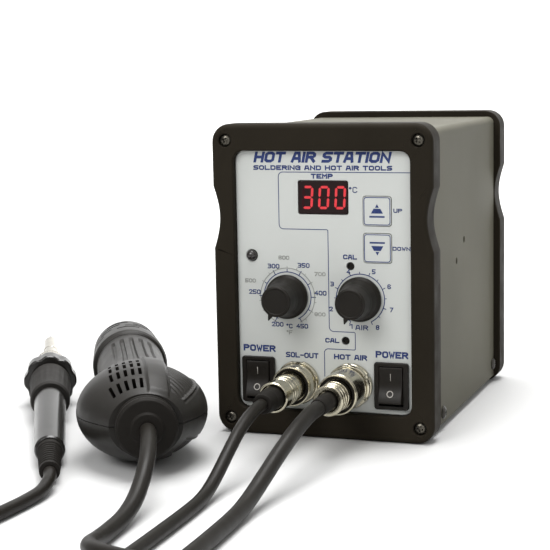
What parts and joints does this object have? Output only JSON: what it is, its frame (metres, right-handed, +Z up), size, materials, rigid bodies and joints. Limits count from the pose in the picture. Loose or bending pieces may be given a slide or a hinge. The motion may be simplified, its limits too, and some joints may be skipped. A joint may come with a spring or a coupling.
{
  "type": "hot air station",
  "caption": "Bench station with two corded handpieces, a hot air gun and a soldering iron, set by knobs, keys and rocker switches on its front panel.",
  "frame": {"origin": "on the underside of the front bezel, at the middle of its width and depth, on the bench", "axes": "+X to the right of someone facing the panel, +Y from the front panel to the rear panel, +Z up"},
  "size_m": [0.2901, 0.4401, 0.138],
  "materials": {
    "bezel_plastic": "fine-grained matte moulding",
    "housing_paint": "fine satin paint over sheet steel",
    "base_metal": "plain zinc-plated sheet",
    "panel_print": "satin printed film",
    "screw_black": "black oxide",
    "display_filter": "dark red polished filter",
    "display_body": "moulded black",
    "circuit_board": "solder mask over laminate",
    "lamp_lens": "dark red tinted lens, unlit",
    "pot_metal": "plated can and shaft",
    "knob_plastic": "satin moulded black",
    "switch_plastic": "satin to gloss nylon",
    "key_film": "satin printed film",
    "trimmer_plastic": "moulded",
    "nickel": "nickel plate, lightly knurled",
    "boot_rubber": "matte flexible rubber",
    "inlet_plastic": "moulded black nylon",
    "transformer_iron": "varnished laminations",
    "handle_plastic": "heat-proof satin moulding",
    "grip_rubber": "soft matte sleeve",
    "plated_steel": "plated, slightly heat-tinted",
    "tip_metal": "iron-plated, tinned point",
    "cord_rubber": "smooth matte silicone rubber"
  },
  "bodies": {
    "station": {"front_bezel": "bezel_plastic", "rear_bezel": "bezel_plastic", "front_screw_1": "screw_black", "front_screw_2": "screw_black", "front_screw_3": "screw_black", "front_screw_4": "screw_black", "rear_screw_1": "screw_black", "rear_screw_2": "screw_black", "rear_screw_3": "screw_black", "rear_screw_4": "screw_black", "housing_cover": "housing_paint", "base_plate": "base_metal", "panel_overlay": "panel_print", "front_panel": "base_metal", "display_window": "display_filter", "display_module": "display_body", "control_board": "circuit_board", "lamp": "lamp_lens", "temp_pot": "pot_metal", "air_pot": "pot_metal", "iron_switch_body": "switch_plastic", "air_switch_body": "switch_plastic", "iron_socket": "nickel", "air_socket": "nickel", "iron_plug_shell": "nickel", "air_plug_shell": "nickel", "iron_plug_boot": "boot_rubber", "air_plug_boot": "boot_rubber", "rear_panel": "base_metal", "power_inlet": "inlet_plastic", "transformer": "transformer_iron", "main_board": "circuit_board", "iron_cord_lead": "cord_rubber", "iron_cord_coil": "cord_rubber", "iron_cord_tail": "cord_rubber", "air_cord_lead": "cord_rubber", "air_cord_coil": "cord_rubber", "air_cord_tail": "cord_rubber"},
    "temp_knob": {"temp_knob": "knob_plastic"},
    "air_knob": {"air_knob": "knob_plastic"},
    "iron_rocker": {"iron_rocker": "switch_plastic"},
    "air_rocker": {"air_rocker": "switch_plastic"},
    "up_key": {"up_key": "key_film"},
    "down_key": {"down_key": "key_film"},
    "cal_trimmer_1": {"cal_trimmer_1": "trimmer_plastic"},
    "cal_trimmer_2": {"cal_trimmer_2": "trimmer_plastic"},
    "iron_coupling_ring": {"iron_coupling_ring": "nickel"},
    "air_coupling_ring": {"air_coupling_ring": "nickel"},
    "iron": {"iron_boot": "boot_rubber", "iron_handle": "handle_plastic", "iron_grip": "grip_rubber", "iron_barrel": "plated_steel", "iron_tip": "tip_metal"},
    "iron_nut": {"iron_nut": "plated_steel"},
    "gun": {"gun_boot": "boot_rubber", "gun_shell_top": "handle_plastic", "gun_shell_bottom": "handle_plastic", "gun_collar": "handle_plastic", "gun_tube": "plated_steel", "gun_nozzle": "plated_steel"}
  },
  "joints": [
    {"name": "temp_knob_turn", "type": "hinge", "parent": "station", "child": "temp_knob", "pos_m": [-0.0167, -0.012, 0.0621], "axis": [0, 1, 0], "range_deg": [0, 312]},
    {"name": "air_knob_turn", "type": "hinge", "parent": "station", "child": "air_knob", "pos_m": [0.0167, -0.012, 0.0621], "axis": [0, 1, 0], "range_deg": [0, 312]},
    {"name": "iron_rocker_tip", "type": "hinge", "parent": "station", "child": "iron_rocker", "pos_m": [-0.0306, -0.0027, 0.0245], "axis": [1, 0, 0], "range_deg": [0, 19]},
    {"name": "air_rocker_tip", "type": "hinge", "parent": "station", "child": "air_rocker", "pos_m": [0.0306, -0.0027, 0.0245], "axis": [1, 0, 0], "range_deg": [0, 19]},
    {"name": "up_key_press", "type": "slide", "parent": "station", "child": "up_key", "axis": [0, 1, 0], "range_m": [0, 0.0005], "stiffness_N_per_m": 800, "springref_m": -0.0005},
    {"name": "down_key_press", "type": "slide", "parent": "station", "child": "down_key", "axis": [0, 1, 0], "range_m": [0, 0.0005], "stiffness_N_per_m": 800, "springref_m": -0.0005},
    {"name": "cal_trimmer_1_turn", "type": "hinge", "parent": "station", "child": "cal_trimmer_1", "pos_m": [0.0124, 0, 0.0763], "axis": [0, 1, 0], "range_deg": [-135, 135]},
    {"name": "cal_trimmer_2_turn", "type": "hinge", "parent": "station", "child": "cal_trimmer_2", "pos_m": [0.0098, 0, 0.0434], "axis": [0, 1, 0], "range_deg": [-135, 135]},
    {"name": "iron_coupling_ring_turn", "type": "hinge", "parent": "station", "child": "iron_coupling_ring", "pos_m": [-0.0122, -0.012, 0.024], "axis": [0, 1, 0], "range_deg": [0, 360]},
    {"name": "air_coupling_ring_turn", "type": "hinge", "parent": "station", "child": "air_coupling_ring", "pos_m": [0.0122, -0.012, 0.024], "axis": [0, 1, 0], "range_deg": [0, 360]},
    {"name": "iron_lift", "type": "slide", "parent": "station", "child": "iron", "axis": [0, 0, 1], "range_m": [0, 0.06]},
    {"name": "iron_nut_turn", "type": "hinge", "parent": "iron", "child": "iron_nut", "pos_m": [-0.16147, 0.04398, 0.01425], "axis": [-0.4688, 0.8817, 0.0523], "range_deg": [0, 360]},
    {"name": "gun_lift", "type": "slide", "parent": "station", "child": "gun", "axis": [0, 0, 1], "range_m": [0, 0.06]}
  ]
}
